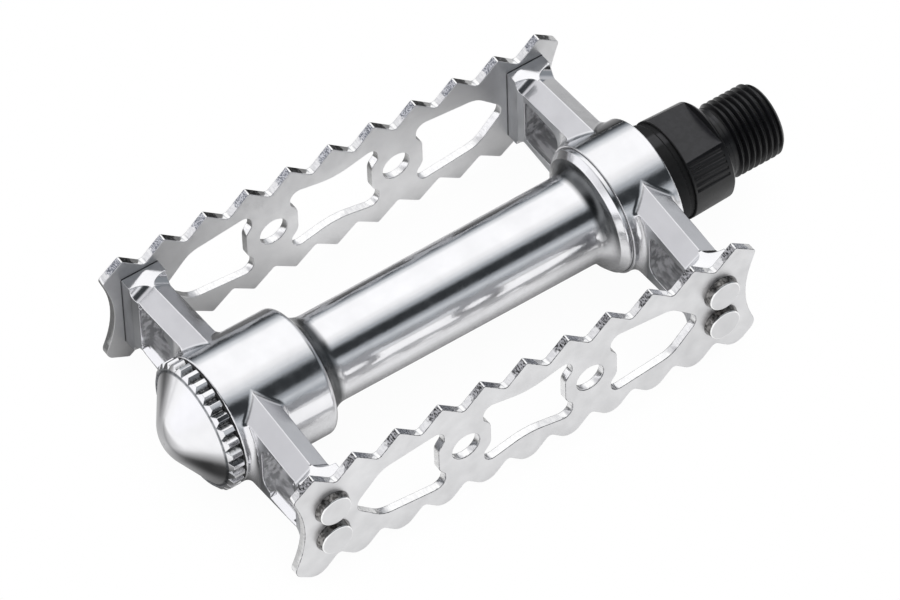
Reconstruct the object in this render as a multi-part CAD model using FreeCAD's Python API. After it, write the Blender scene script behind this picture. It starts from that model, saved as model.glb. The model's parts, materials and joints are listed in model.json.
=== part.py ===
import FreeCAD, Part
import math
import os

V = FreeCAD.Vector

# Rat-trap bicycle pedal, left hand. Sizes in millimetres.
# The shapes are built about the middle of the cage and written with the origin
# on the spindle axis where the full crank thread begins. +Y runs along the
# spindle towards the crank, +Z is up and X runs fore and aft.
thread_full_y = 62.3

# Cage plates
plate_outer_x = 30.4
plate_thick = 1.6
plate_inner_x = plate_outer_x - plate_thick
tooth_pitch = 8.78
teeth_each_way = 5
upper_tip_z = 12.8
upper_valley_z = 9.0
upper_tip_r = 0.4
upper_valley_r = 0.9
lower_valley_z = -9.75
front_lower_tip_z = -13.8
front_lower_tip_r = 2.8
front_lower_valley_r = 1.0
rear_lower_tip_z = -12.93
rear_lower_tip_r = 0.5
rear_lower_valley_r = 0.6
corner_y = 48.2
upper_corner_z = 9.5
lower_corner_out_y = 48.9
lower_corner_in_y = 48.3
lower_corner_z = -10.0
lower_corner_r = 2.2
waist_y = 44.9
waist_r = 20.0
pattern_z = -0.4
hole_y = 13.0
hole_r = 2.85

# Rivets
rivet_rise = 3.9
rivet_shank_r = 1.75
rivet_depth = 3.4
rivet_head_r = 3.4
rivet_top_r = 3.1
rivet_head_h = 1.5
rivet_edge_r = 0.3

# Body: barrel and bosses
outer_boss_r = 12.2
outer_boss_end = -46.0
outer_boss_in = -27.1
outer_boss_round = 1.1
outer_cove_y = -25.4
outer_cove_r = 4.7
barrel_r_out = 8.28
barrel_r_in = 8.5
inner_cove_y = 32.6
inner_cove_r = 3.3
inner_bevel_y = 33.35
inner_bevel_r = 10.9
inner_bevel_round = 0.25
inner_ring_y = 34.45
inner_ring_r = 12.03
inner_ring_round = 0.35
inner_boss_r = 12.5
inner_boss_start = 35.2
inner_boss_end = 46.1
through_r = 6.4
cap_thread_end = -42.6
cap_thread_r = 10.45

# Body: arms and the pads they end in
arm_y = 40.65
arm_half = 3.4
arm_root_x = 4.0
arm_ref_x = 25.0
arm_ridge_z = 8.4
arm_edge_z = 6.2
arm_slope = 0.1
root_fillet_r = 1.3
root_tolerance = 0.02
boss_land = 0.3
boss_core_half = 5.2
pad_half = 3.8
pad_top_z = 8.3
pad_back_x = 24.2
pad_full_x = 25.8
pad_blend_r = 1.0
cove_r = 2.0
pocket_in_x = 13.9
pocket_out_x = 24.1
pocket_half_z = 5.1
pocket_depth = 5.2
pocket_in_r = 2.2
pocket_out_r = 0.8
bevel = 1.3

# Bearings: balls of 5/32 inch
ball_r = 1.984
race_r = 2.02
inner_ball_y = 40.6
inner_ball_ring_r = 7.3
inner_balls = 11
inner_cup_r = 10.3
inner_cup_back = 37.2
inner_cup_open = 43.4
outer_ball_y = -39.8
outer_ball_ring_r = 6.9
outer_balls = 10
outer_cup_r = 9.9
outer_cup_back = -36.4
cup_hole_gap = 0.2

# Seal at the crank end
seal_bore_r = 10.8
seal_start = 43.8
seal_end = 45.7
seal_land_r = 8.2
running_gap = 0.06

# Dust cap and its gasket
cap_rim_r = 12.25
cap_rim_back = -46.4
cap_rim_front = -48.5
cap_face_y = -49.2
cap_face_r = 11.4
cap_cone_r = 11.15
cap_half_angle = math.radians(55.3)
cap_nose_r = 7.9
cap_tip_y = -55.0
cap_wall = 1.3
cap_skirt_r = 10.4
cap_skirt_in_r = 8.9
cap_skirt_end = -43.0
cap_grooves = 31
cap_groove_half = 0.86
cap_groove_depth = 0.86
cap_first_rib = 27.35
gasket_r = 12.0
gasket_in_r = 10.5

# Spindle
race_flange_y = inner_ball_y + race_r
flange_start = 46.6
flange_r = 9.6
flange_end = 49.3
collar_groove_r = 9.2
collar_start = 50.5
collar_r = 9.65
collar_end_r = 9.4
collar_chamfer = 0.4
flat_start = 50.8
flat_end = 58.7
flat_z = 7.5
rib_start = 51.0
rib_end = 58.2
rib_cut_r = 0.42
rib_angles = (17.0, 24.3, 31.6, 38.9, 46.2)
neck_r = 6.6
shoulder_y = 59.3
thread_r = 7.144
thread_end = 71.8
thread_chamfer = 0.75
shaft_in_y = 37.0
shaft_out_y = -37.6
shaft_in_r = inner_ball_ring_r - race_r
shaft_out_r = 4.7
tip_y = -49.8
tip_r = 4.0
tip_chamfer = 0.5
keyway_half = 0.9
keyway_floor = 3.1

# Adjusting parts at the cap end
cone_start = -38.4
cone_flange_r = 7.0
cone_flange_y = -42.3
cone_flat_x = 5.75
cone_end = -44.2
washer_r = 6.0
washer_end = -45.2
washer_tab_half = 0.8
washer_tab_r = 3.3
nut_across_flats = 11.0
nut_end = -49.0
nut_chamfer = 0.55

AXIS_X = V(1, 0, 0)
AXIS_Y = V(0, 1, 0)
CENTRE = V(0, 0, 0)


def write(name, shape):
    """Moves a shape so that the start of the crank thread is the origin, and saves it."""
    placed = shape.copy()
    placed.translate(V(0, -thread_full_y, 0))
    placed.exportStep("parts/" + name + ".step")


def rounded_wire(corners, place):
    """Closed wire through (a, b, radius) corners, put in space by place(a, b)."""
    rounds = []
    for i in range(len(corners)):
        a, b, radius = corners[i]
        here = V(a, b, 0)
        following = corners[(i + 1) % len(corners)]
        back = (V(corners[i - 1][0], corners[i - 1][1], 0) - here).normalize()
        ahead = (V(following[0], following[1], 0) - here).normalize()
        half = back.getAngle(ahead) / 2
        reach = radius / math.tan(half)
        crown = here + (back + ahead).normalize() * (radius / math.sin(half) - radius)
        rounds.append((here + back * reach, crown, here + ahead * reach))
    edges = []
    for i in range(len(corners)):
        start, crown, end = (place(p.x, p.y) for p in rounds[i])
        if corners[i][2]:
            edges.append(Part.Arc(start, crown, end).toShape())
        following = rounds[(i + 1) % len(corners)][0]
        edges.append(Part.makeLine(end, place(following.x, following.y)))
    return Part.Wire(edges)


def slab(corners, place, run):
    """Solid made by sliding a rounded outline along the vector run."""
    return Part.Face(rounded_wire(corners, place)).extrude(run)


def turned(corners):
    """Solid of revolution about the spindle axis from (y, r, radius) corners."""
    wire = rounded_wire(corners, lambda y, r: V(0, y, r))
    return Part.Face(wire).revolve(CENTRE, AXIS_Y, 360)


def rod_y(radius, start, end):
    """Cylinder about the spindle axis between two y positions."""
    return Part.makeCylinder(radius, end - start, V(0, start, 0), AXIS_Y)


def fore_and_aft(shapes):
    """The shapes and their mirror images on the other side of the spindle."""
    return shapes + [s.mirror(CENTRE, AXIS_X) for s in shapes]


def window_corners():
    """Outlines (y, z, radius) of the three windows, about the middle of the pattern."""
    bulge = [(9.25, 7.65, 1.8), (9.25, 4.3, 1.0), (7.8, 2.6, 2.4)]
    right = bulge + [(y, -z, r) for y, z, r in reversed(bulge)]
    left = [(-y, z, r) for y, z, r in reversed(right)]
    middle = [(0, 5.55, 14.0)] + right + [(0, -5.55, 14.0)] + left
    slope = [(30.3, 6.15, 5.0), (17.4, 7.55, 1.9), (17.4, 4.3, 1.0), (18.65, 2.6, 2.0)]
    end = [(36.5, 0, 2.5)] + slope + [(y, -z, r) for y, z, r in reversed(slope)]
    return [middle, end, [(-y, z, r) for y, z, r in end]]


def tooth_row(direction, tip_z, valley_z, tip_r, valley_r):
    """Tips and valleys of one toothed edge, in the order that direction gives."""
    row = []
    for k in range(-teeth_each_way, teeth_each_way + 1):
        row.append((direction * k * tooth_pitch, tip_z, tip_r))
        if k < teeth_each_way:
            row.append((direction * (k + 0.5) * tooth_pitch, valley_z, valley_r))
    return row


def cage_plate(side):
    """Toothed plate with its windows, round holes and rivet holes; side is 1 or -1."""
    start_x = plate_inner_x if side > 0 else -plate_outer_x
    run = V(plate_thick, 0, 0)
    lower = (rear_lower_tip_z, lower_valley_z, rear_lower_tip_r, rear_lower_valley_r)
    if side > 0:
        lower = (front_lower_tip_z, lower_valley_z, front_lower_tip_r, front_lower_valley_r)
    outline = [(-waist_y, pattern_z, waist_r), (-corner_y, upper_corner_z, upper_valley_r)]
    outline += tooth_row(1, upper_tip_z, upper_valley_z, upper_tip_r, upper_valley_r)
    outline += [(corner_y, upper_corner_z, upper_valley_r), (waist_y, pattern_z, waist_r)]
    outline += [(lower_corner_in_y, lower_corner_z, lower_corner_r)]
    outline += tooth_row(-1, *lower)
    outline += [(-lower_corner_out_y, lower_corner_z, lower_corner_r)]
    plate = slab(outline, lambda y, z: V(start_x, y, z), run)
    cuts = [slab(c, lambda y, z: V(start_x, y, z + pattern_z), run) for c in window_corners()]
    for y in (-hole_y, hole_y):
        cuts.append(Part.makeCylinder(hole_r, plate_thick, V(start_x, y, pattern_z), AXIS_X))
    for y, z in rivet_places():
        cuts.append(Part.makeCylinder(rivet_shank_r, plate_thick, V(start_x, y, z), AXIS_X))
    return plate.cut(cuts)


def rivet_places():
    """The (y, z) places of the rivets on one plate."""
    return [(y, pattern_z + z) for y in (-arm_y, arm_y) for z in (rivet_rise, -rivet_rise)]


def rivet(side, y, z):
    """Flat-headed rivet through a plate and into the pad behind it."""
    back_x = plate_inner_x - rivet_depth
    top_x = plate_outer_x + rivet_head_h
    corners = [
        (back_x, 0, 0),
        (back_x, rivet_shank_r, 0),
        (plate_outer_x, rivet_shank_r, 0),
        (plate_outer_x, rivet_head_r, 0),
        (top_x, rivet_top_r, rivet_edge_r),
        (top_x, 0, 0),
    ]
    wire = rounded_wire(corners, lambda x, r: V(side * x, y, z + r))
    return Part.Face(wire).revolve(V(0, y, z), AXIS_X, 360)


def barrel():
    """Turned outside of the body, before its bores are cut."""
    return turned([
        (outer_boss_end, 0, 0),
        (outer_boss_end, outer_boss_r, 0.2),
        (outer_boss_in, outer_boss_r, outer_boss_round),
        (outer_cove_y, barrel_r_out, outer_cove_r),
        (inner_cove_y, barrel_r_in, inner_cove_r),
        (inner_bevel_y, inner_bevel_r, inner_bevel_round),
        (inner_ring_y, inner_ring_r, inner_ring_round),
        (inner_boss_start, inner_ring_r, 0),
        (inner_boss_start, inner_boss_r, 0.1),
        (inner_boss_end, inner_boss_r, 0.2),
        (inner_boss_end, 0, 0),
    ])


def arm_section(x):
    """Six-sided section of an arm at x, with a ridge along its top and bottom."""
    rise = arm_slope * (arm_ref_x - x)
    ridge = arm_ridge_z + rise
    edge = arm_edge_z + rise
    corners = [(0, ridge), (arm_half, edge), (arm_half, -edge)]
    corners += [(-y, -z) for y, z in corners]
    points = [V(x, y, z) for y, z in corners]
    return Part.makePolygon(points + points[:1])


def arm(y):
    """One arm with its pad and the pad's coves, reaching towards +X at the given y."""
    beam = Part.makeLoft([arm_section(arm_root_x), arm_section(plate_inner_x)], True, True)
    over_top = Part.makeBox(plate_inner_x, 2 * pad_half, pad_top_z)
    over_top.translate(V(pad_back_x, -pad_half, pad_top_z))
    beam = beam.cut([over_top, over_top.mirror(CENTRE, V(0, 0, 1))])
    plan = [
        (plate_inner_x, pad_half, 0),
        (pad_full_x, pad_half, pad_blend_r),
        (pad_back_x, arm_half, pad_blend_r),
        (pad_back_x - 2 * pad_blend_r, arm_half, 0),
    ]
    plan += [(x, -b, r) for x, b, r in reversed(plan)]
    pad = slab(plan, lambda x, b: V(x, b, -pad_top_z), V(0, 0, 2 * pad_top_z))
    inward = Part.makeBox(pad_back_x, 4 * pad_half, 4 * pad_top_z, V(0, -2 * pad_half, -2 * pad_top_z))
    pad = pad.cut([inward] + pad_coves())
    solid = beam.fuse(pad)
    solid.translate(V(0, y, 0))
    return solid


def pad_coves():
    """Four cylinders lying along the arm's facets that hollow the back of a pad."""
    slant = V(0, arm_half, arm_edge_z - arm_ridge_z).normalize()
    square = V(0, -slant.z, slant.y)
    rise = arm_slope * (arm_ref_x - pad_back_x)
    middle = V(pad_back_x, 0, arm_ridge_z + rise) + square * cove_r
    long = 3 * pad_half
    cove = Part.makeCylinder(cove_r, long, middle, slant)
    coves = [cove, cove.mirror(CENTRE, AXIS_Y)]
    return coves + [c.mirror(CENTRE, V(0, 0, 1)) for c in coves]


def pocket(y, bevelled):
    """The hollow in the outward side of an arm at y, with chamfered long edges if bevelled."""
    corners = [
        (pocket_in_x, pocket_half_z, pocket_in_r),
        (pocket_out_x, pocket_half_z, pocket_out_r),
        (pocket_out_x, -pocket_half_z, pocket_out_r),
        (pocket_in_x, -pocket_half_z, pocket_in_r),
    ]
    face_y = y - arm_half
    cuts = [slab(corners, lambda x, z: V(x, face_y, z), V(0, pocket_depth, 0))]
    if bevelled:
        start_x = pocket_in_x + pocket_in_r
        points = [
            V(start_x, face_y, pocket_half_z),
            V(start_x, face_y, pocket_half_z + bevel),
            V(start_x, face_y + bevel, pocket_half_z),
        ]
        wedge = Part.Face(Part.makePolygon(points + points[:1])).extrude(V(pocket_out_x - start_x, 0, 0))
        cuts += [wedge, wedge.mirror(CENTRE, V(0, 0, 1))]
    return cuts


def is_root(edge, boss_r):
    """True where an arm's side meets the round of its boss."""
    if edge.Degenerated:
        return False
    points = edge.discretize(5)
    on_boss = all(abs(math.hypot(p.x, p.z) - boss_r) < root_tolerance for p in points)
    return on_boss and all(abs(abs(p.y) - arm_y) < arm_half + root_tolerance for p in points)


def armed_boss(boss_r, start, end, y):
    """Length of a boss with its two arms, blended where they meet."""
    core = rod_y(boss_r, start, end)
    solid = core.fuse(fore_and_aft([arm(y)])).removeSplitter()
    return solid.makeFillet(root_fillet_r, [e for e in solid.Edges if is_root(e, boss_r)])


def body():
    """One-piece body: barrel, two bosses and four arms, with every bore cut."""
    solid = barrel().fuse([
        armed_boss(outer_boss_r, outer_boss_end + boss_land, -arm_y + boss_core_half, -arm_y),
        armed_boss(inner_boss_r, arm_y - boss_core_half, inner_boss_end - boss_land, arm_y),
    ])
    cuts = [
        rod_y(through_r, outer_boss_end, inner_boss_end),
        rod_y(cap_thread_r, outer_boss_end, cap_thread_end),
        rod_y(outer_cup_r, outer_boss_end, outer_cup_back),
        rod_y(inner_cup_r, inner_cup_back, inner_boss_end),
        rod_y(seal_bore_r, inner_cup_open, inner_boss_end),
    ]
    cuts += fore_and_aft(pocket(-arm_y, True) + pocket(arm_y, False))
    holes = []
    for y, z in rivet_places():
        start = V(plate_inner_x - rivet_depth, y, z)
        holes.append(Part.makeCylinder(rivet_shank_r, rivet_depth, start, AXIS_X))
    return solid.removeSplitter().cut(cuts + fore_and_aft(holes))


def bearing_cup(back, mouth, ball_y, ring_r, outer_r):
    """Pressed cup with a quarter-round race; back is its closed side."""
    inward = 1 if mouth > back else -1
    floor = ball_y - inward * race_r
    hole_r = through_r + cup_hole_gap
    return turned([
        (back, hole_r, 0),
        (back, outer_r, 0.3),
        (mouth, outer_r, 0),
        (mouth, ring_r + race_r, 0),
        (floor, ring_r + race_r, race_r),
        (floor, hole_r, 0),
    ])


def ball_set(count, y, ring_r):
    """One race's balls, each a solid of its own."""
    balls = []
    for i in range(count):
        turn = 2 * math.pi * i / count
        balls.append(Part.makeSphere(ball_r, V(ring_r * math.cos(turn), y, ring_r * math.sin(turn))))
    return Part.makeCompound(balls)


def spindle():
    """Spindle with its race, flange, ribbed collar with wrench flats, and thread blank."""
    solid = turned([
        (tip_y, 0, 0),
        (tip_y, tip_r - tip_chamfer, 0),
        (tip_y + tip_chamfer, tip_r, 0),
        (shaft_out_y, tip_r, 0),
        (shaft_out_y, shaft_out_r, 0),
        (shaft_in_y, shaft_in_r, 0),
        (race_flange_y, shaft_in_r, race_r),
        (race_flange_y, seal_land_r, 0.2),
        (flange_start, seal_land_r, 0),
        (flange_start, flange_r, 0.2),
        (flange_end, flange_r, 0.3),
        (flange_end + 0.3, collar_groove_r, 0),
        (collar_start, collar_groove_r, 0),
        (collar_start, collar_r, 0.2),
        (shoulder_y - collar_chamfer, collar_end_r, 0),
        (shoulder_y, collar_end_r - collar_chamfer, 0),
        (shoulder_y, neck_r, 0.3),
        (thread_full_y + neck_r - thread_r, neck_r, 0),
        (thread_full_y, thread_r, 0),
        (thread_end - thread_chamfer, thread_r, 0),
        (thread_end, thread_r - thread_chamfer, 0),
        (thread_end, 0, 0),
    ])
    cuts = []
    for side in (1, -1):
        flat = Part.makeBox(2 * collar_r, flat_end - flat_start, collar_r)
        low = flat_z if side > 0 else -flat_z - collar_r
        flat.translate(V(-collar_r, flat_start, low))
        cuts.append(flat)
        for angle in rib_angles:
            turn = math.radians(angle)
            place = V(side * collar_r * math.cos(turn), rib_start, side * collar_r * math.sin(turn))
            cuts.append(Part.makeCylinder(rib_cut_r, rib_end - rib_start, place, AXIS_Y))
    keyway = Part.makeBox(2 * keyway_half, shaft_out_y - tip_y, tip_r)
    keyway.translate(V(-keyway_half, tip_y, keyway_floor))
    return solid.cut(cuts + [keyway])


def cone():
    """Adjusting cone with its race and two spanner flats."""
    solid = turned([
        (cone_start, tip_r, 0),
        (cone_start, outer_ball_ring_r - race_r, 0),
        (outer_ball_y - race_r, outer_ball_ring_r - race_r, race_r),
        (outer_ball_y - race_r, cone_flange_r, 0.2),
        (cone_end, cone_flange_r, 0.2),
        (cone_end, tip_r, 0),
    ])
    cuts = []
    for low in (cone_flat_x, -cone_flat_x - cone_flange_r):
        flat = Part.makeBox(cone_flange_r, cone_flange_y - cone_end, 2 * cone_flange_r)
        flat.translate(V(low, cone_end, -cone_flange_r))
        cuts.append(flat)
    return solid.cut(cuts)


def key_washer():
    """Flat washer whose inner tab sits in the spindle's keyway."""
    ring = rod_y(washer_r, washer_end, cone_end).cut(rod_y(tip_r, washer_end, cone_end))
    tab = Part.makeBox(2 * washer_tab_half, cone_end - washer_end, washer_r - washer_tab_r)
    tab.translate(V(-washer_tab_half, washer_end, washer_tab_r))
    return ring.fuse(tab)


def lock_nut():
    """Six-sided nut with chamfered corners on both faces."""
    corner_r = nut_across_flats / 2 / math.cos(math.pi / 6)
    points = []
    for i in range(7):
        turn = math.pi / 3 * i
        points.append(V(corner_r * math.cos(turn), nut_end, corner_r * math.sin(turn)))
    prism = Part.Face(Part.makePolygon(points)).extrude(V(0, washer_end - nut_end, 0))
    limit = turned([
        (nut_end, tip_r, 0),
        (nut_end, corner_r - nut_chamfer, 0),
        (nut_end + nut_chamfer / 2, corner_r, 0),
        (washer_end - nut_chamfer / 2, corner_r, 0),
        (washer_end, corner_r - nut_chamfer, 0),
        (washer_end, tip_r, 0),
    ])
    return prism.common(limit)


def dust_cap():
    """Hollow conical cap with a round nose, a grooved rim and a threaded skirt."""
    nose_y = cap_tip_y + cap_nose_r
    lean = V(0, -math.sin(cap_half_angle), math.cos(cap_half_angle))

    def nose(radius, base_r):
        """Cone edge, nose arc and axis points for one skin of the cap."""
        touch = V(0, nose_y, 0) + lean * radius
        base_y = touch.y + (base_r - touch.z) / math.tan(cap_half_angle)
        bend = V(0, nose_y - radius * math.cos(0.5), radius * math.sin(0.5))
        return V(0, base_y, base_r), touch, bend, V(0, nose_y - radius, 0)

    base, touch, bend, tip = nose(cap_nose_r, cap_cone_r)
    in_base, in_touch, in_bend, in_tip = nose(cap_nose_r - cap_wall, cap_skirt_in_r)
    outer = [
        base,
        V(0, cap_face_y, cap_face_r),
        V(0, cap_rim_front, cap_rim_r),
        V(0, cap_rim_back, cap_rim_r),
        V(0, cap_rim_back, cap_skirt_r),
        V(0, cap_skirt_end, cap_skirt_r),
        V(0, cap_skirt_end, cap_skirt_in_r),
        in_base,
        in_touch,
    ]
    edges = [Part.makeLine(a, b) for a, b in zip(outer, outer[1:])]
    edges += [
        Part.Arc(in_touch, in_bend, in_tip).toShape(),
        Part.makeLine(in_tip, tip),
        Part.Arc(tip, bend, touch).toShape(),
        Part.makeLine(touch, base),
    ]
    solid = Part.Face(Part.Wire(edges)).revolve(CENTRE, AXIS_Y, 360)
    pitch = 360 / cap_grooves
    mouth_r = cap_rim_r + cap_groove_depth
    points = [
        V(cap_rim_r - cap_groove_depth, cap_face_y, 0),
        V(mouth_r, cap_face_y, 2 * cap_groove_half),
        V(mouth_r, cap_face_y, -2 * cap_groove_half),
    ]
    wedge = Part.Face(Part.makePolygon(points + points[:1])).extrude(V(0, cap_rim_back - cap_face_y, 0))
    grooves = []
    for i in range(cap_grooves):
        groove = wedge.copy()
        groove.rotate(CENTRE, AXIS_Y, -(cap_first_rib + (i + 0.5) * pitch))
        grooves.append(groove)
    return solid.cut(grooves)


def ring(inner_r, outer_r, start, end):
    """Plain ring about the spindle axis."""
    return rod_y(outer_r, start, end).cut(rod_y(inner_r, start, end))


os.makedirs("parts", exist_ok=True)
write("body", body())
write("cup_inboard", bearing_cup(inner_cup_back, inner_cup_open, inner_ball_y, inner_ball_ring_r, inner_cup_r))
write("cup_outboard", bearing_cup(outer_cup_back, cap_thread_end, outer_ball_y, outer_ball_ring_r, outer_cup_r))
write("balls_inboard", ball_set(inner_balls, inner_ball_y, inner_ball_ring_r))
write("balls_outboard", ball_set(outer_balls, outer_ball_y, outer_ball_ring_r))
write("dust_seal", ring(seal_land_r + running_gap, seal_bore_r, seal_start, seal_end))
write("dust_cap", dust_cap())
write("cap_gasket", ring(gasket_in_r, gasket_r, cap_rim_back, outer_boss_end))
write("spindle", spindle())
write("cone_outboard", cone())
write("key_washer", key_washer())
write("lock_nut", lock_nut())
for side, plate_name in ((1, "front"), (-1, "rear")):
    write("cage_plate_" + plate_name, cage_plate(side))
    for number, (y, z) in enumerate(rivet_places()):
        write("rivet_" + plate_name + "_" + str(number + 1), rivet(side, y, z))
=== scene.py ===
import json
import math

import bmesh
import bpy
from mathutils import Matrix, Vector


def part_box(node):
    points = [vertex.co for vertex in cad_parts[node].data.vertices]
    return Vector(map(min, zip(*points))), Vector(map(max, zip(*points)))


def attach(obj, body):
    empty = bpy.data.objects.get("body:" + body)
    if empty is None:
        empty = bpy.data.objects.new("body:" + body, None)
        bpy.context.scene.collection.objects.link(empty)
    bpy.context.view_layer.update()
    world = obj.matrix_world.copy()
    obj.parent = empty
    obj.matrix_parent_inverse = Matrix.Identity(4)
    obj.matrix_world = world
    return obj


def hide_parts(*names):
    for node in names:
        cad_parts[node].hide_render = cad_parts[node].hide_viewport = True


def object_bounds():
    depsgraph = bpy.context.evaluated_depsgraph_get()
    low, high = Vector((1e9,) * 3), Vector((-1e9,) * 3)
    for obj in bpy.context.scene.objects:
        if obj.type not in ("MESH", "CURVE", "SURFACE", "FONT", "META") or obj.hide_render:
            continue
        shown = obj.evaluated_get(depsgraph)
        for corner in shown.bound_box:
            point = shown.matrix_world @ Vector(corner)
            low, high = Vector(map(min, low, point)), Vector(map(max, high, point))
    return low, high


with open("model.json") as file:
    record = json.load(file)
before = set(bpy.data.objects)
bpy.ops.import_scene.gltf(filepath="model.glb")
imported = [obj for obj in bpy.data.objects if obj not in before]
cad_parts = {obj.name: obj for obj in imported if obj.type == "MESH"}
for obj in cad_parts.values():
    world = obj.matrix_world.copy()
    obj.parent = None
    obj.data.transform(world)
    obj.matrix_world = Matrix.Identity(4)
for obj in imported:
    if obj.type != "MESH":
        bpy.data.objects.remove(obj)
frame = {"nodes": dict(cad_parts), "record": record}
cad_low, cad_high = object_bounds()

MM = 0.001
nodes = frame["nodes"]
mounts = {mount["name"]: mount for mount in frame["record"]["mounts"]}
body_low, body_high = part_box("body")
cap_low, cap_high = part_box("dust_cap")
plate_low, plate_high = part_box("cage_plate_front")

# Camera, as it stood for the photograph
view_azimuth = math.radians(56.91)
view_elevation = math.radians(50.335)
view_roll = math.radians(-1.978)
view_distance = 1.427
view_side = 0.00395
view_rise = 0.00004
lens_mm = 328.68

# Crank thread, 20 turns to the inch, and the neck before it
thread_pitch = 25.4 * MM / 20
thread_depth = 0.61 * thread_pitch
thread_steps = 96
neck_radius = 6.6 * MM
neck_cut = -1.2 * MM

# Edges and seams
plate_edge = 0.14 * MM
sharp_turn = math.radians(28)
flat_turn = math.radians(1)
seam_reach = 0.45 * MM
weld_gap = 0.001 * MM

# Arms, their pockets and the coves at the barrel's ends, as the solids have them
arm_half = 3.4 * MM
arm_root = 13 * MM
pocket_top = 5.2 * MM
pocket_root, pocket_end = 13.8 * MM, 24.2 * MM
pocket_lip, pocket_floor = 0.4 * MM, 5.4 * MM
cap_cove = (body_low.y + 19.3 * MM, body_low.y + 24 * MM)
crank_cove = (body_high.y - 17.5 * MM, body_high.y - 12.75 * MM)

# Torn part of the tooth flanks: its depth, its ragged edge and its grain
tear_depth = 2.9 * MM
tear_ragged = 1.6 * MM
tear_grain = 0.7 * MM

# Cap's rim, its grooves and the cone's foot, which get painted shade, inward from the rim's edge,
# and the spindle's flange
rim_width = 2.2 * MM
groove_depth = 0.6 * MM
foot_outer, foot_inner = 0.8 * MM, 1.5 * MM
flange_length = 4.6 * MM

# Blotches in every finish, and the colour of the shade painted into a seam
mottle_size = 5 * MM
gloss_size = 2 * MM
painted_seam_shade = ((0.03, 0.03, 0.034), (0.12, 0.12, 0.13))

# Floor
floor_half = 3.0
sky_reach = 60 * MM


def add(tree, kind, inputs=None, **settings):
    """Adds a node, sets its properties and feeds its inputs with numbers or sockets."""
    made = tree.nodes.new(kind)
    for name, value in settings.items():
        setattr(made, name, value)
    for name, value in (inputs or {}).items():
        if isinstance(value, bpy.types.NodeSocket):
            tree.links.new(value, made.inputs[name])
        else:
            made.inputs[name].default_value = value
    return made


def maths(tree, operation, *values, clamp=False):
    """One step of arithmetic on numbers or sockets."""
    inputs = dict(enumerate(values))
    return add(tree, "ShaderNodeMath", inputs, operation=operation, use_clamp=clamp).outputs[0]


def product(tree, first, *others):
    """All the values multiplied together."""
    for other in others:
        first = maths(tree, "MULTIPLY", first, other)
    return first


def spread(tree, value, low, high, from_low=0.3, from_high=0.7):
    """Maps one range, by default a noise's busy part, onto another, and stops at its ends."""
    inputs = {
        "Value": value, "From Min": from_low, "From Max": from_high, "To Min": low, "To Max": high,
    }
    return add(tree, "ShaderNodeMapRange", inputs).outputs[0]


def between(tree, value, low, high, soft):
    """1 where a value lies between low and high, and 0 outside, with soft ends."""
    rise = spread(tree, value, 0, 1, low - soft, low + soft)
    fall = spread(tree, value, 1, 0, high - soft, high + soft)
    return product(tree, rise, fall)


def ramp(tree, factor, stops, smooth=True):
    """Colour ramp through (place, colour) stops."""
    made = add(tree, "ShaderNodeValToRGB", {"Fac": factor})
    made.color_ramp.interpolation = "EASE" if smooth else "LINEAR"
    elements = made.color_ramp.elements
    while len(elements) < len(stops):
        elements.new(0.5)
    for element, (place, colour) in zip(elements, stops):
        element.position = place
        element.color = (*colour, 1)
    return made.outputs["Color"]


def levels(tree, value, stops, unit=1):
    """Brightness that runs straight between (place, level) stops, with the places in a unit."""
    first, last = stops[0][0], stops[-1][0]
    share = spread(tree, value, 0, 1, first * unit, last * unit)
    greys = [((place - first) / (last - first), (level,) * 3) for place, level in stops]
    return ramp(tree, share, greys, smooth=False)


def noise(tree, size, detail=2.0, stretch=(1, 1, 1)):
    """Noise from 0 to 1 over a piece, in features about size metres across, longer by stretch."""
    where = add(tree, "ShaderNodeTexCoord").outputs["Object"]
    scale = [1 / (size * longer) for longer in stretch]
    scaled = add(tree, "ShaderNodeMapping", {"Vector": where, "Scale": scale}).outputs[0]
    inputs = {"Vector": scaled, "Scale": 1.0, "Detail": detail}
    return add(tree, "ShaderNodeTexNoise", inputs).outputs["Fac"]


def open_sky(tree, reach, samples):
    """Share of the sky over a point that nothing within reach hides."""
    inputs = {"Distance": reach}
    return add(tree, "ShaderNodeAmbientOcclusion", inputs, samples=samples).outputs["AO"]


def blend_colours(tree, factor, first, second):
    """Mixes two colours, or sockets, by a factor."""
    inputs = {0: factor, 6: first, 7: second}
    for place in (6, 7):
        if not isinstance(inputs[place], bpy.types.NodeSocket):
            inputs[place] = (*inputs[place], 1)
    return add(tree, "ShaderNodeMix", inputs, data_type="RGBA").outputs[2]


def finish_of(name, metallic, colours, roughness, edge=None, grain=None):
    """Material with a mottled colour and uneven gloss, each between a pair of values.

    edge is the radius of softened edges and grain the size and height of fine bumps. A finish has
    both or neither.
    """
    material = bpy.data.materials.new(name)
    material.use_nodes = True
    tree = material.node_tree
    shader = tree.nodes["Principled BSDF"]
    shader.inputs["Metallic"].default_value = metallic
    mottle = spread(tree, noise(tree, mottle_size, 4.0), 0, 1)
    tree.links.new(blend_colours(tree, mottle, *colours), shader.inputs["Base Color"])
    gloss = spread(tree, noise(tree, gloss_size, 5.0), *roughness)
    tree.links.new(gloss, shader.inputs["Roughness"])
    if grain:
        size, height = grain
        softened = add(tree, "ShaderNodeBevel", {"Radius": edge}, samples=8).outputs[0]
        bumps = {"Height": noise(tree, size, 3.0), "Distance": height, "Strength": 1.0}
        bumped = add(tree, "ShaderNodeBump", {**bumps, "Normal": softened}).outputs[0]
        tree.links.new(bumped, shader.inputs["Normal"])
    return material


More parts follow.
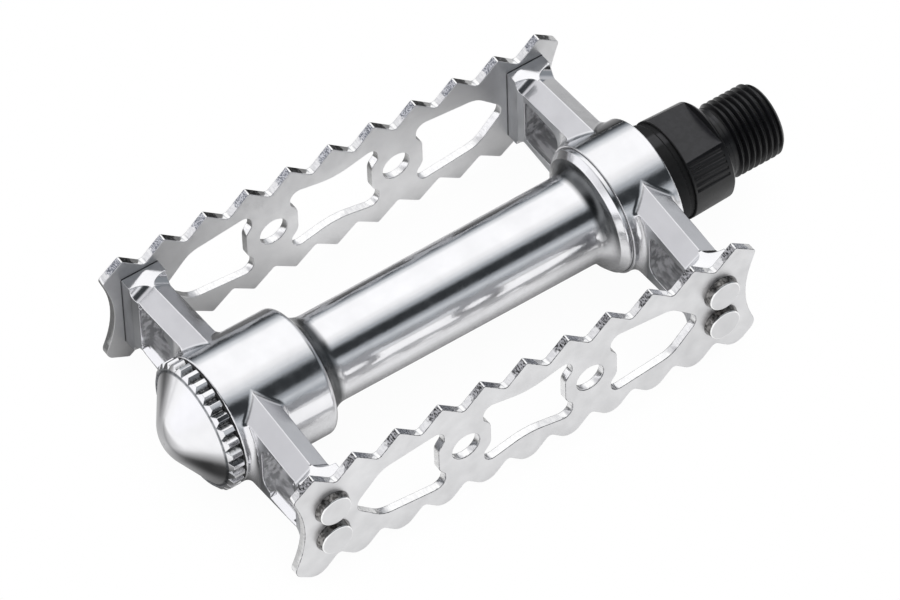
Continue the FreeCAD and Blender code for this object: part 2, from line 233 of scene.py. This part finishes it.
def overlay(material, mask, colours, roughness, size, stretch=(1, 1, 1), busy=(0.42, 0.58)):
    """Covers a finish, where mask(tree) is 1, with another pair of speckled colours and gloss."""
    tree = material.node_tree
    shader = tree.nodes["Principled BSDF"]
    factor = mask(tree)
    speckle = spread(tree, noise(tree, size, 5.0, stretch), 0, 1, *busy)
    colour = blend_colours(tree, speckle, *colours)
    old_colour = shader.inputs["Base Color"].links[0].from_socket
    tree.links.new(blend_colours(tree, factor, old_colour, colour), shader.inputs["Base Color"])
    old_gloss = shader.inputs["Roughness"].links[0].from_socket
    tree.links.new(spread(tree, factor, old_gloss, roughness, 0, 1), shader.inputs["Roughness"])


def part_of(tree, output, axis):
    """One axis of a texture coordinate, Object or Normal, in the piece's own frame."""
    vector = add(tree, "ShaderNodeTexCoord").outputs[output]
    return add(tree, "ShaderNodeSeparateXYZ", {0: vector}).outputs[axis]


def size_of(tree, output, axis):
    """The same as part_of, without its sign."""
    return maths(tree, "ABSOLUTE", part_of(tree, output, axis))


def radius_of(tree):
    """Distance from the spindle axis."""
    where = add(tree, "ShaderNodeTexCoord").outputs["Object"]
    flat = add(tree, "ShaderNodeVectorMath", {0: where, 1: (1, 0, 1)}, operation="MULTIPLY")
    length = add(tree, "ShaderNodeVectorMath", {0: flat.outputs[0]}, operation="LENGTH")
    return length.outputs["Value"]


def painted_crease_shade(tree):
    """Mask of the narrow seams where two pieces or faces meet, where shade is painted by how little
    sky reaches them.
    """
    return spread(tree, open_sky(tree, seam_reach, 16), 1, 0, 0.55, 0.8)


def cut_edge(tree):
    """Mask of the surfaces that run across a plate, square to its faces."""
    return spread(tree, size_of(tree, "Normal", "X"), 1, 0, 0.3, 0.6)


def painted_dark_edge_reflection(tree):
    """Mask of the rounded edges between a plate's faces and its cut walls, where a dark reflection
    is painted.
    """
    return between(tree, size_of(tree, "Normal", "X"), 0.25, 0.93, 0.05)


def tooth_flank(tree, side):
    """Mask of the upper part of the tooth flanks that face one way along the spindle."""
    drop = maths(tree, "MULTIPLY", noise(tree, tear_grain, 3.0), tear_ragged)
    height = maths(tree, "SUBTRACT", size_of(tree, "Object", "Z"), drop)
    torn_from = plate_high.z - tear_depth
    upper = spread(tree, height, 0, 1, torn_from, torn_from + 0.3 * MM)
    lean = maths(tree, "MULTIPLY", part_of(tree, "Normal", "Y"), side)
    facing = spread(tree, lean, 0, 1, 0.3, 0.4)
    return product(tree, upper, facing, cut_edge(tree))


def rivet_side(tree):
    """Mask of the sides of the rivets' heads."""
    return spread(tree, size_of(tree, "Normal", "X"), 1, 0, 0.25, 0.4)


def painted_rivet_rim_highlight(tree):
    """Mask of a painted highlight on the rounded rims of the rivets' heads."""
    return between(tree, size_of(tree, "Normal", "X"), 0.4, 0.97, 0.02)


def pocket_mask(tree):
    """Mask of the insides of the four pockets in the arms."""
    soft = 0.1 * MM
    height = size_of(tree, "Object", "Z")
    level = spread(tree, height, 1, 0, pocket_top - soft, pocket_top + soft)
    out = between(tree, size_of(tree, "Object", "X"), pocket_root, pocket_end, soft)
    along = part_of(tree, "Object", "Y")
    slots = []
    for rivet_name in ("rivet_front_1", "rivet_front_3"):
        rivet_low, rivet_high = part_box(rivet_name)
        mouth = (rivet_low.y + rivet_high.y) / 2 - arm_half
        slots.append(between(tree, along, mouth + pocket_lip, mouth + pocket_floor, 2 * soft))
    return product(tree, level, out, maths(tree, "MAXIMUM", *slots))


def painted_cove_shade_mask(tree):
    """Mask of the hollow rounds at the two ends of the barrel, as far as they slope, where shade is
    painted.
    """
    along = part_of(tree, "Object", "Y")
    lean = part_of(tree, "Normal", "Y")
    upper = spread(tree, part_of(tree, "Object", "Z"), 0, 1, -1 * MM, 4 * MM)
    near_cap = between(tree, along, *cap_cove, 0.1 * MM)
    near_crank = between(tree, along, *crank_cove, 0.03 * MM)
    cap_side = product(tree, near_cap, spread(tree, lean, 0, 1, 0.12, 0.4))
    crank_side = product(tree, near_crank, spread(tree, lean, 1, 0, -0.4, -0.12), upper)
    return maths(tree, "MAXIMUM", cap_side, crank_side)


def cast_side(tree):
    """Mask of the arms' and pads' flat sides that look along the spindle."""
    soft = 0.4 * MM
    out = spread(tree, size_of(tree, "Object", "X"), 0, 1, arm_root - soft, arm_root + soft)
    flat = spread(tree, size_of(tree, "Normal", "Y"), 0, 1, 0.9, 0.98)
    return product(tree, out, flat)


def painted_cone_foot_shade(tree):
    """Mask of the ring where the cap's cone meets its rim, where shade is painted."""
    rim = cap_high.x
    return between(tree, radius_of(tree), rim - foot_inner, rim - foot_outer, 0.12 * MM)


def painted_groove_shade_mask(tree):
    """Mask of the grooves in the cap's rim, where shade is painted."""
    gasket_low, gasket_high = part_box("cap_gasket")
    along = part_of(tree, "Object", "Y")
    in_rim = between(tree, along, gasket_low.y - rim_width, gasket_high.y, 0.05 * MM)
    bottom = cap_high.x - groove_depth
    deep = spread(tree, radius_of(tree), 1, 0, bottom, bottom + 0.4 * MM)
    return product(tree, in_rim, deep)


def flange_mask(tree):
    """Mask of the spindle's flange and the groove between it and the collar."""
    face = body_high.y
    return between(tree, part_of(tree, "Object", "Y"), face, face + flange_length, 0.1 * MM)


def spanner_flat(tree):
    """Mask of the two flats on the spindle's collar."""
    return spread(tree, size_of(tree, "Normal", "Z"), 0, 1, 0.985, 0.995)


def plate_finish(name, colours, dark_side, dark_tear, busy):
    """Satin plate with bright sheared edges, torn dark on the tooth flanks that face dark_side."""
    plate = finish_of(name, 1.0, colours, (0.34, 0.44))
    across = (2.2, 1, 1)
    sheared = ((0.84, 0.84, 0.85), (0.95, 0.95, 0.95))
    overlay(plate, cut_edge, sheared, 0.2, 0.5 * MM, across)
    overlay(
        plate, lambda tree: tooth_flank(tree, -dark_side),
        ((0.16, 0.17, 0.2), (0.7, 0.71, 0.75)), 0.3, 0.18 * MM, across,
    )
    overlay(
        plate, lambda tree: tooth_flank(tree, dark_side),
        dark_tear, 0.3, 0.24 * MM, across, busy,
    )
    # Painted shade in the seams where pieces meet.
    overlay(plate, painted_crease_shade, painted_seam_shade, 0.4, 0.4 * MM)
    return plate


def round_edges(name, radius):
    """Rounds every sharp edge of a CAD node with real faces."""
    piece = nodes[name]
    joined = piece.modifiers.new("joined", "WELD")
    joined.merge_threshold = weld_gap
    merged = piece.modifiers.new("merged_flats", "DECIMATE")
    merged.decimate_type = "DISSOLVE"
    merged.angle_limit = flat_turn
    rounded = piece.modifiers.new("rounded", "BEVEL")
    rounded.width = radius
    rounded.segments = 3
    rounded.limit_method = "ANGLE"
    rounded.angle_limit = sharp_turn
    rounded.use_clamp_overlap = False
    rounded.harden_normals = True


def aim_camera():
    """Camera on the line of sight of the photograph, aimed past the middle of the cage."""
    turn = Vector((math.sin(view_azimuth), -math.cos(view_azimuth), 0))
    back = turn * math.cos(view_elevation) + Vector((0, 0, math.sin(view_elevation)))
    level = Vector((0, 0, 1)).cross(back).normalized()
    upright = back.cross(level)
    right = level * math.cos(view_roll) + upright * math.sin(view_roll)
    up = upright * math.cos(view_roll) - level * math.sin(view_roll)
    middle = Vector((0, (plate_low.y + plate_high.y) / 2, 0))
    place = middle + right * view_side + up * view_rise + back * view_distance
    turned = Matrix((right, up, back)).transposed().to_4x4()
    camera_data = bpy.data.cameras.new("camera")
    camera_data.lens = lens_mm
    camera_data.clip_end = 20
    camera = bpy.data.objects.new("camera", camera_data)
    camera.matrix_world = Matrix.Translation(place) @ turned
    bpy.context.scene.collection.objects.link(camera)
    bpy.context.scene.camera = camera


def cool(level):
    """Grey of the given brightness, the bluer the darker it is."""
    lean = 0.1 * max(1 - level, 0)
    return (level * (1 - lean), level, level * (1 + lean))


def light_studio():
    """Soft studio round the object, of bands that run along the spindle and a light at each end.

    The bands are (degrees, level) stops, from the horizon in front over the top to the one behind.
    """
    world = bpy.data.worlds.new("studio")
    world.use_nodes = True
    bpy.context.scene.world = world
    tree = world.node_tree
    tree.nodes.clear()
    where = add(tree, "ShaderNodeTexCoord").outputs["Generated"]
    axes = add(tree, "ShaderNodeSeparateXYZ", {0: where}).outputs
    angle = maths(tree, "ARCTAN2", axes["Z"], axes["X"])
    share = maths(tree, "DIVIDE", angle, math.pi, clamp=True)
    front = [(0, 0.85), (5, 0.7), (15, 0.4), (25, 0.66), (33, 0.4)]
    dark_gap = [(40, 0.035), (56, 0.035)]
    wide_top = [(66, 0.44), (76, 0.82), (86, 1.02), (96, 1.16), (146, 1.14), (157, 0.78)]
    rear = [(167, 0.3), (174, 0.05), (180, 0.03)]
    bands = front + dark_gap + wide_top + rear
    grey = ramp(tree, share, [(degrees / 180, cool(level)) for degrees, level in bands])
    height = spread(tree, axes["Z"], 0, 1, 0.32, 0.52)
    behind = spread(tree, axes["X"], 1, 0, -0.25, 0.05)
    high_up = blend_colours(tree, behind, cool(0.05), (0.7, 0.7, 0.72))
    cap_end = blend_colours(tree, height, (1.12, 1.12, 1.14), high_up)
    crank_low = blend_colours(tree, behind, cool(0.28), (0.52, 0.53, 0.55))
    crank_end = blend_colours(tree, height, crank_low, high_up)
    toward_crank = spread(tree, axes["Y"], 0, 1, 0.5, 0.8)
    toward_cap = spread(tree, axes["Y"], 1, 0, -0.5, -0.15)
    light = blend_colours(tree, toward_crank, grey, crank_end)
    light = blend_colours(tree, toward_cap, light, cap_end)
    seen = add(tree, "ShaderNodeLightPath").outputs["Is Camera Ray"]
    colour = blend_colours(tree, seen, light, (1, 1, 1))
    lit = add(tree, "ShaderNodeBackground", {"Color": colour, "Strength": 1.0})
    out = add(tree, "ShaderNodeOutputWorld")
    tree.links.new(lit.outputs[0], out.inputs["Surface"])


def painted_shadow_patch(tree, where, centre, rings):
    """Painted shadow round a point of the floor: brightness from (millimetres, level) rings."""
    away = add(tree, "ShaderNodeVectorMath", {0: where, 1: centre}, operation="DISTANCE")
    return levels(tree, away.outputs["Value"], rings, MM)


def mirrored_floor(tree):
    """Brightness of the floor as metal mirrors it.

    It is bright in front and at the two ends and dim behind, with shadows painted close under
    the object, in a pool before the cap and round a corner of the cage.
    """
    where = add(tree, "ShaderNodeNewGeometry").outputs["Position"]
    axes = add(tree, "ShaderNodeSeparateXYZ", {0: where}).outputs
    end_margin = 12 * MM
    cap_edge, crank_edge = plate_low.y - end_margin, plate_high.y + end_margin
    past_cap = maths(tree, "MAXIMUM", maths(tree, "SUBTRACT", cap_edge, axes["Y"]), 0)
    past_crank = maths(tree, "MAXIMUM", maths(tree, "SUBTRACT", axes["Y"], crank_edge), 0)
    across = maths(tree, "MULTIPLY_ADD", past_cap, 1.6, axes["X"])
    across = maths(tree, "ADD", across, past_crank)
    behind = [(-280, 0.04), (-92, 0.14), (-56, 0.22), (-42, 0.32), (-33, 0.65)]
    # From 1 to 12 mm the floor darkens in a painted shadow under the barrel.
    under = [(-26, 0.98), (-10, 1.04), (1, 1), (6, 0.74), (9, 0.6), (12, 0.76)]
    in_front = [(17, 0.96), (70, 1.08)]
    tone = levels(tree, across, behind + under + in_front, MM)
    far_crank = spread(tree, past_crank, 1, 0.5, 30 * MM, 90 * MM)
    contact = [(0.2, 0.12), (0.35, 0.55), (0.5, 0.94), (0.65, 1)]
    # Painted contact shade: darker where nearby parts hide the sky.
    shade = levels(tree, open_sky(tree, sky_reach, 8), contact)
    # Painted shadow in a pool before the cap.
    pool_centre = Vector((10 * MM, cap_low.y - 3 * MM, cad_low.z))
    rings = [(3, 0.08), (4.5, 0.13), (8, 0.4), (11, 0.58), (14, 0.72), (18, 0.95), (20, 1)]
    pool = painted_shadow_patch(tree, where, pool_centre, rings)
    # Painted shadow round the cap-side corner of the cage.
    corner = Vector((-40 * MM, cap_edge, cad_low.z))
    corner_rings = [(0, 0.25), (12, 0.42), (30, 0.55), (45, 0.7), (60, 1)]
    painted_corner_shadow = painted_shadow_patch(tree, where, corner, corner_rings)
    return product(tree, tone, far_crank, shade, pool, painted_corner_shadow)


def lay_floor():
    """Plain floor that the cage stands on.

    It is white paper to soft light, mirrored_floor to metal and only a faint painted shadow to the
    camera, so a cage that is turned below it stays in sight. From below it is clear.
    """
    material = bpy.data.materials.new("floor_white")
    material.use_nodes = True
    tree = material.node_tree
    tree.nodes.clear()
    tone = blend_colours(tree, noise(tree, 40 * MM), (0.88, 0.88, 0.885), (0.9, 0.9, 0.9))
    paper = add(tree, "ShaderNodeBsdfDiffuse", {"Color": tone}).outputs[0]
    glow = {"Color": (1, 1, 1, 1), "Strength": mirrored_floor(tree)}
    mirrored = add(tree, "ShaderNodeEmission", glow).outputs[0]
    # Painted shadow for the camera: a clear floor tinted by how much sky nearby parts hide.
    shadow = spread(tree, open_sky(tree, sky_reach, 8), 0.97, 1, 0.2, 0.7)
    shadowed_air = add(tree, "ShaderNodeBsdfTransparent", {"Color": shadow}).outputs[0]
    clear = add(tree, "ShaderNodeBsdfTransparent").outputs[0]
    path = add(tree, "ShaderNodeLightPath").outputs
    sharp = maths(tree, "ADD", path["Is Glossy Ray"], path["Is Transmission Ray"], clamp=True)
    lit = add(tree, "ShaderNodeMixShader", {0: sharp, 1: paper, 2: mirrored}).outputs[0]
    seen = path["Is Camera Ray"]
    top = add(tree, "ShaderNodeMixShader", {0: seen, 1: lit, 2: shadowed_air}).outputs[0]
    under = add(tree, "ShaderNodeNewGeometry").outputs["Backfacing"]
    mixed = add(tree, "ShaderNodeMixShader", {0: under, 1: top, 2: clear}).outputs[0]
    out = add(tree, "ShaderNodeOutputMaterial")
    tree.links.new(mixed, out.inputs["Surface"])
    mesh = bpy.data.meshes.new("floor")
    signs = ((-1, -1), (1, -1), (1, 1), (-1, 1))
    corners = [(x * floor_half, y * floor_half, 0) for x, y in signs]
    mesh.from_pydata(corners, [], [(0, 1, 2, 3)])
    mesh.materials.append(material)
    floor = bpy.data.objects.new("floor", mesh)
    floor.location = (0, cad_low.y / 2, cad_low.z)
    bpy.context.scene.collection.objects.link(floor)


def new_piece(name, bm, material, body):
    """Mesh object from bm that rides on a body and takes its finish from a record slot."""
    mesh = bpy.data.meshes.new(name)
    bm.to_mesh(mesh)
    bm.free()
    mesh.materials.append(material)
    piece = bpy.data.objects.new(name, mesh)
    bpy.context.scene.collection.objects.link(piece)
    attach(piece, body)
    return piece


def close_and_shade(bm):
    """Caps every open loop, turns the faces outward and shades them smooth between sharp edges."""
    loose = [edge for edge in bm.edges if edge.is_boundary]
    bmesh.ops.holes_fill(bm, edges=loose, sides=0)
    bmesh.ops.recalc_face_normals(bm, faces=bm.faces)
    for face in bm.faces:
        face.smooth = True
    for edge in bm.edges:
        edge.smooth = edge.calc_face_angle(0) < sharp_turn


def thread_profile(phase):
    """How far the thread stands out of its root at a phase from 0 to 1, as a share of its depth."""
    crest, flank = 0.125, 0.355
    if phase < crest:
        return 1.0
    if phase < crest + flank:
        return 1 - (phase - crest) / flank
    if phase < 1 - flank:
        return 0.0
    return (phase - 1 + flank) / flank


def thread_radius(y, phase, major, full_end):
    """Radius of the threaded piece at a place along it.

    The blank narrows at 45 degrees past the full thread and into the neck, and the thread's root
    goes from the neck's radius to its own along one pitch.
    """
    blank = min(major, major - (y - full_end), major + y)
    if y < full_end:
        blank = max(blank, neck_radius)
    run_in = min(max((y + thread_pitch / 2) / thread_pitch, 0), 1)
    root = neck_radius + (major - thread_depth - neck_radius) * run_in
    return min(blank, root + (major - root) * thread_profile(phase))


def build_thread(material):
    """Left-hand crank thread from the cut in the neck to the end, kept to the CAD blank."""
    major = mounts["crank_thread"]["dims"]["r_mm"] * MM
    full_end = mounts["crank_thread"]["dims"]["length_mm"] * MM
    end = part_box("spindle")[1].y
    phases = (0, 0.0625, 0.125, 0.24, 0.36, 0.48, 0.5625, 0.645, 0.76, 0.88)
    turns = math.ceil((end - neck_cut) / thread_pitch) + 2
    bm = bmesh.new()
    columns = []
    for step in range(thread_steps):
        share = step / thread_steps
        angle = share * math.tau
        column = []
        for turn in range(-1, turns - 1):
            for phase in phases:
                along = neck_cut + (turn + phase + share) * thread_pitch
                y = min(max(along, neck_cut), end)
                phase_here = ((y - neck_cut) / thread_pitch - share) % 1
                radius = thread_radius(y, phase_here, major, full_end)
                place = (radius * math.cos(angle), y, radius * math.sin(angle))
                column.append(bm.verts.new(place))
        columns.append(column)
    for step in range(thread_steps):
        here, there = columns[step], columns[(step + 1) % thread_steps]
        lead = len(phases) if step == thread_steps - 1 else 0
        for i in range(len(here) - 1 - lead):
            bm.faces.new((here[i], here[i + 1], there[i + 1 + lead], there[i + lead]))
    bmesh.ops.remove_doubles(bm, verts=bm.verts, dist=2 * weld_gap)
    bmesh.ops.dissolve_degenerate(bm, edges=bm.edges, dist=weld_gap)
    close_and_shade(bm)
    new_piece("spindle_thread", bm, material, "spindle")


def build_shank(material):
    """The spindle as CAD has it, up to the cut in its neck where the threaded piece begins."""
    bm = bmesh.new()
    bm.from_mesh(nodes["spindle"].data)
    bmesh.ops.remove_doubles(bm, verts=bm.verts, dist=weld_gap)
    whole = bm.verts[:] + bm.edges[:] + bm.faces[:]
    plane = {"plane_co": (0, neck_cut, 0), "plane_no": (0, 1, 0)}
    bmesh.ops.bisect_plane(bm, geom=whole, clear_outer=True, **plane)
    close_and_shade(bm)
    shank = new_piece("spindle_shank", bm, material, "spindle")
    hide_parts("spindle")


def dress(name, material):
    """Gives a CAD node its material."""
    mesh = nodes[name].data
    mesh.materials.clear()
    mesh.materials.append(material)


def alloy_finish():
    """Polished alloy, duller on the cast sides and in the pockets, with painted shade in the seams
    and the coves.
    """
    alloy = finish_of(
        "alloy_polished", 1.0, ((0.80, 0.80, 0.82), (0.86, 0.86, 0.88)), (0.09, 0.17),
        0.3 * MM, (0.4 * MM, 0.006 * MM),
    )
    painted_cove_shade = ((0.1, 0.105, 0.11), (0.16, 0.165, 0.17))
    dull_side = ((0.36, 0.37, 0.39), (0.5, 0.51, 0.53))
    raw_pocket = ((0.55, 0.55, 0.56), (0.97, 0.97, 0.98))
    calm = (0.3, 0.7)
    # Painted shade in the seams where pieces meet.
    overlay(alloy, painted_crease_shade, painted_seam_shade, 0.4, 0.4 * MM)
    # Painted shade in the coves at the barrel's ends.
    overlay(alloy, painted_cove_shade_mask, painted_cove_shade, 0.22, 2.5 * MM, busy=calm)
    overlay(alloy, cast_side, dull_side, 0.3, 4 * MM, (1, 1, 2), calm)
    overlay(alloy, pocket_mask, raw_pocket, 0.6, 1.1 * MM, (3, 1, 1))
    return alloy


def chrome_finish():
    """Satin chrome of the cap, with painted shade at the cone's foot and in the rim's grooves."""
    chrome = finish_of(
        "cap_satin_chrome", 1.0, ((0.82, 0.82, 0.84), (0.88, 0.88, 0.9)), (0.1, 0.18),
        0.15 * MM, (0.3 * MM, 0.001 * MM),
    )
    # Painted shade at the cone's foot.
    overlay(chrome, painted_cone_foot_shade, ((0.16, 0.17, 0.18), (0.3, 0.31, 0.33)), 0.3, 0.8 * MM)
    # Painted shade in the rim's grooves.
    overlay(chrome, painted_groove_shade_mask, ((0.14, 0.14, 0.145), (0.5, 0.5, 0.5)), 0.3, 0.4 * MM)
    return chrome


def rivet_finish():
    """Satin rivets with painted highlights on their rims, and dark sides."""
    rivets = finish_of(
        "rivet_satin", 1.0, ((0.66, 0.66, 0.67), (0.74, 0.74, 0.75)), (0.28, 0.4),
        0.1 * MM, (0.3 * MM, 0.003 * MM),
    )
    # Painted highlight on the rims of the heads.
    overlay(rivets, painted_rivet_rim_highlight, ((0.9, 0.9, 0.9), (0.97, 0.97, 0.97)), 0.15, 0.6 * MM)
    overlay(rivets, rivet_side, ((0.1, 0.097, 0.094), (0.36, 0.35, 0.34)), 0.35, 0.6 * MM)
    return rivets


def black_finish():
    """Blackened steel, dullest on the flange, with painted shade in the seams, and palest on the
    flats.
    """
    black = finish_of(
        "steel_blackened", 0.0, ((0.006, 0.006, 0.007), (0.012, 0.012, 0.014)), (0.26, 0.36),
        0.15 * MM, (0.25 * MM, 0.004 * MM),
    )
    black.node_tree.nodes["Principled BSDF"].inputs["Specular IOR Level"].default_value = 0.4
    overlay(black, flange_mask, ((0.003, 0.003, 0.0035), (0.006, 0.006, 0.007)), 0.65, 1 * MM)
    # Painted shade, near black, in the seams.
    overlay(black, painted_crease_shade, ((0.002, 0.002, 0.002), (0.004, 0.004, 0.004)), 0.6, 0.5 * MM)
    overlay(black, spanner_flat, ((0.024, 0.024, 0.028), (0.032, 0.032, 0.037)), 0.3, 1 * MM)
    return black


def dress_cad():
    """Gives every CAD node its material and returns the materials by the record's slots."""
    front_plate = plate_finish(
        "plate_front", ((0.69, 0.69, 0.7), (0.8, 0.8, 0.81)), -1,
        ((0.02, 0.02, 0.02), (0.5, 0.5, 0.52)), (0.4, 0.58),
    )
    # Painted reflection: a dark line on the front plate's rounded edges.
    overlay(front_plate, painted_dark_edge_reflection, ((0.12, 0.12, 0.13), (0.5, 0.5, 0.51)), 0.35, 0.5 * MM)
    # Painted light: the rear plate is the same steel as the front one, made paler.
    rear_plate = plate_finish(
        "plate_rear", ((0.78, 0.78, 0.79), (0.86, 0.86, 0.87)), 1,
        ((0.008, 0.008, 0.008), (0.3, 0.3, 0.31)), (0.5, 0.66),
    )
    ground = finish_of(
        "steel_ground", 1.0, ((0.62, 0.61, 0.6), (0.7, 0.69, 0.68)), (0.12, 0.2),
        0.1 * MM, (0.2 * MM, 0.001 * MM),
    )
    zinc = finish_of(
        "steel_zinc", 1.0, ((0.6, 0.6, 0.58), (0.7, 0.7, 0.66)), (0.3, 0.42),
        0.1 * MM, (0.25 * MM, 0.003 * MM),
    )
    rubber = finish_of(
        "rubber_black", 0.0, ((0.012, 0.012, 0.012), (0.02, 0.02, 0.02)), (0.55, 0.7),
        0.1 * MM, (0.2 * MM, 0.005 * MM),
    )
    by_slot = {
        "body_alloy": alloy_finish(), "cage_steel": front_plate, "cap_chrome": chrome_finish(),
        "rivet_steel": rivet_finish(), "black_steel": black_finish(), "bearing_steel": ground,
        "zinc_steel": zinc, "black_rubber": rubber,
    }
    for part in frame["record"]["subparts"]:
        dress(part["node"], by_slot[part["material_slot"]])
    dress("cage_plate_rear", rear_plate)
    return by_slot


bpy.context.scene.view_settings.view_transform = "Standard"
aim_camera()
light_studio()
lay_floor()
looks = dress_cad()
for plate_name in ("cage_plate_front", "cage_plate_rear"):
    round_edges(plate_name, plate_edge)
build_shank(looks["black_steel"])
build_thread(looks["black_steel"])
